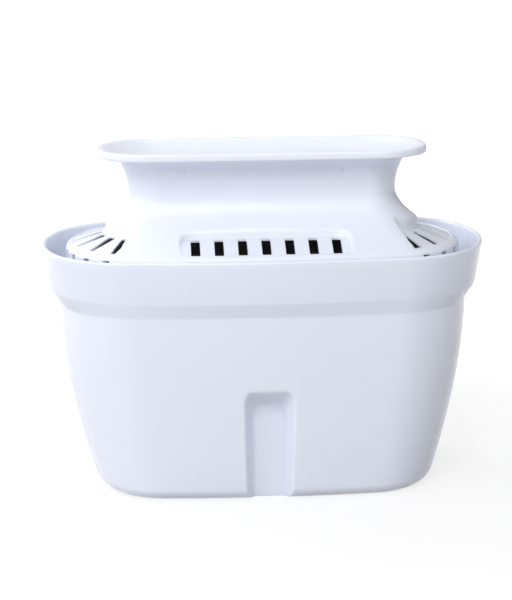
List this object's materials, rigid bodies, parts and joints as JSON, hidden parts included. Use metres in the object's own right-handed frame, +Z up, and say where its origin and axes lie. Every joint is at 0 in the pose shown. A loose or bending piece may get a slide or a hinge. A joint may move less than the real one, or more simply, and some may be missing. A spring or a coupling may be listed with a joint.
{
  "type": "water dispenser filter cartridge",
  "caption": "Tapered oval filter cup with a collar, welded under a slotted lid with a waisted grip neck and a dished top flange.",
  "frame": {"origin": "middle of the base, on the plane that the cup stands on", "axes": "+Z up through the neck, +X along the oval, -Y towards the front face with the pin marks"},
  "size_m": [0.1154, 0.0628, 0.0878],
  "materials": {
    "cup_plastic": "gloss white, faintly blue",
    "lid_plastic": "gloss white",
    "screen_mesh": "fine dark mesh",
    "granules": "dark granules"
  },
  "bodies": {
    "root": {"cup": "cup_plastic", "lid": "lid_plastic", "upper_screen": "screen_mesh", "lower_screen": "screen_mesh", "media_bed": "granules"}
  },
  "joints": []
}
